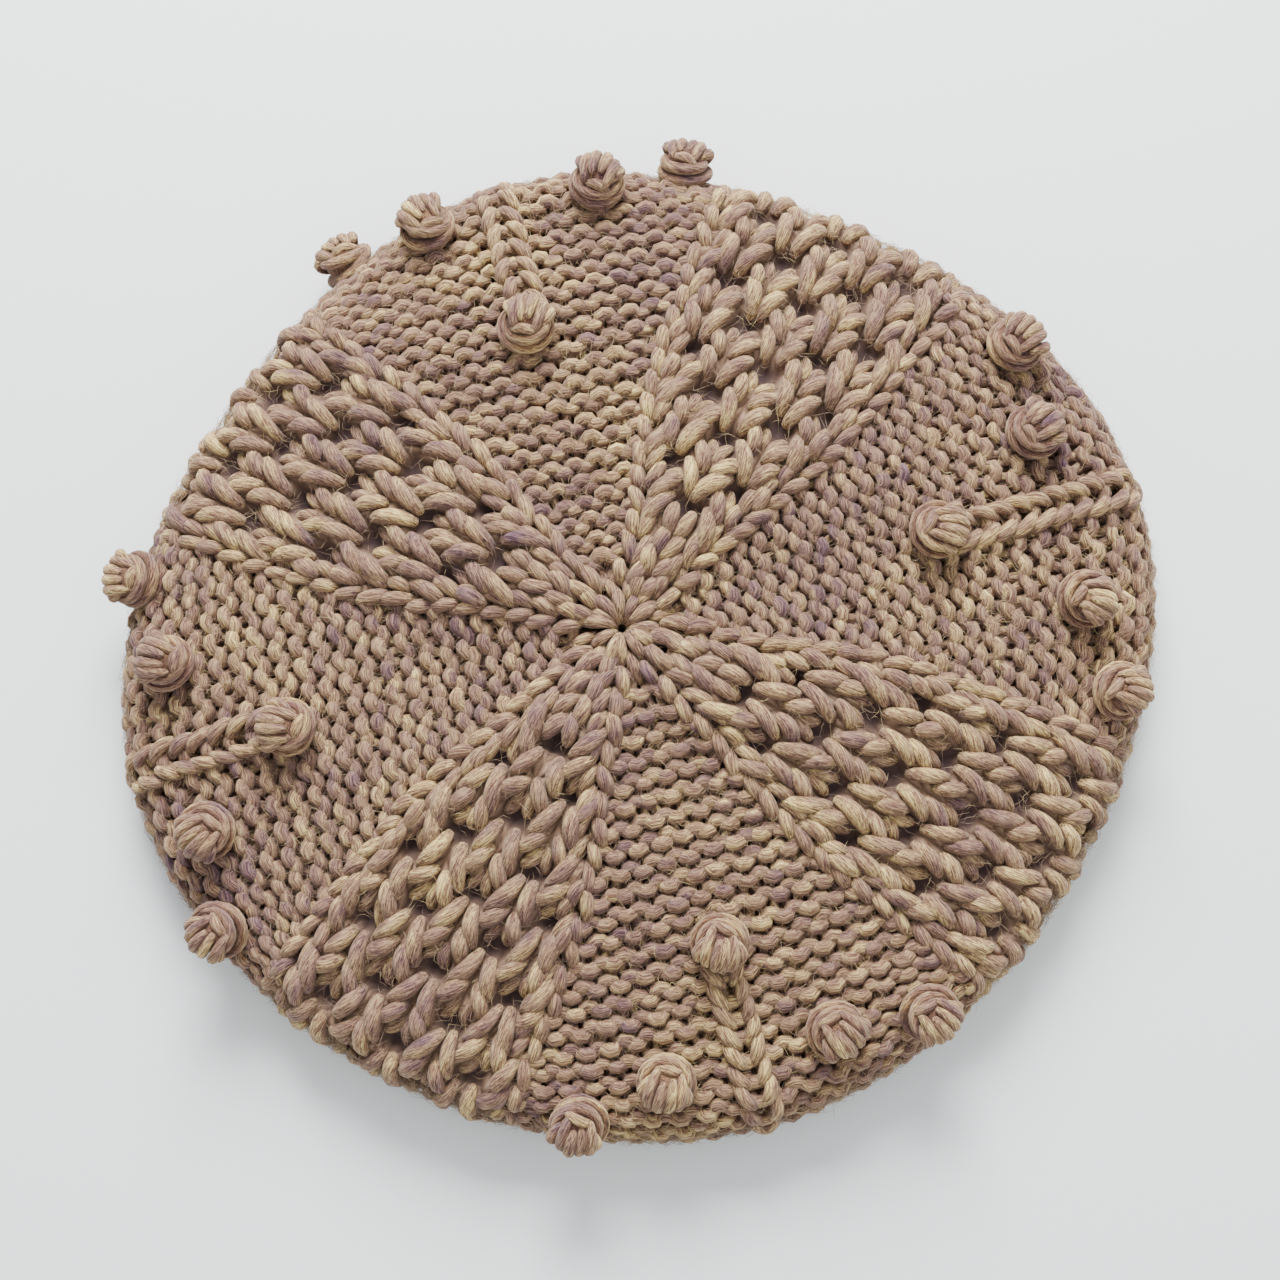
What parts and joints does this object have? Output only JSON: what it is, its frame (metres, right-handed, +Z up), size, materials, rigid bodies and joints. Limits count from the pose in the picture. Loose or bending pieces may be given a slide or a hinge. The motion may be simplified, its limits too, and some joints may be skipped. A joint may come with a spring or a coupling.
{
  "type": "knitted beret",
  "caption": "Soft hand-knitted wool beret with raised honeycomb cable panels, plain purl panels, small bobbles with rope stems, and a ribbed head band.",
  "frame": {"origin": "middle of the head opening, on the plane that the hat rests on", "axes": "+Z up out of the crown; seen from above, +X to the right and +Y away from the viewer, as the hat lies in the picture"},
  "size_m": [0.2781, 0.2727, 0.0396],
  "materials": {
    "plain_knit": "matt hand-dyed wool, purl side out",
    "cable_knit": "matt hand-dyed wool, honeycomb cable",
    "bobble_knit": "matt hand-dyed wool, bobbles and rope stems",
    "rib_knit": "matt hand-dyed wool, single rib"
  },
  "bodies": {
    "root": {"crown": "plain_knit", "band": "rib_knit", "centre_star": "cable_knit", "honeycomb_1": "cable_knit", "honeycomb_2": "cable_knit", "honeycomb_3": "cable_knit", "honeycomb_4": "cable_knit", "stem_1": "bobble_knit", "stem_2": "bobble_knit", "stem_3": "bobble_knit", "stem_4": "bobble_knit", "bobble_1_stem": "bobble_knit", "bobble_1_inner_left": "bobble_knit", "bobble_1_inner_right": "bobble_knit", "bobble_1_outer_left": "bobble_knit", "bobble_1_outer_right": "bobble_knit", "bobble_2_stem": "bobble_knit", "bobble_2_inner_left": "bobble_knit", "bobble_2_inner_right": "bobble_knit", "bobble_2_outer_left": "bobble_knit", "bobble_2_outer_right": "bobble_knit", "bobble_3_stem": "bobble_knit", "bobble_3_inner_left": "bobble_knit", "bobble_3_inner_right": "bobble_knit", "bobble_3_outer_left": "bobble_knit", "bobble_3_outer_right": "bobble_knit", "bobble_4_stem": "bobble_knit", "bobble_4_inner_left": "bobble_knit", "bobble_4_inner_right": "bobble_knit", "bobble_4_outer_left": "bobble_knit", "bobble_4_outer_right": "bobble_knit"}
  },
  "joints": []
}
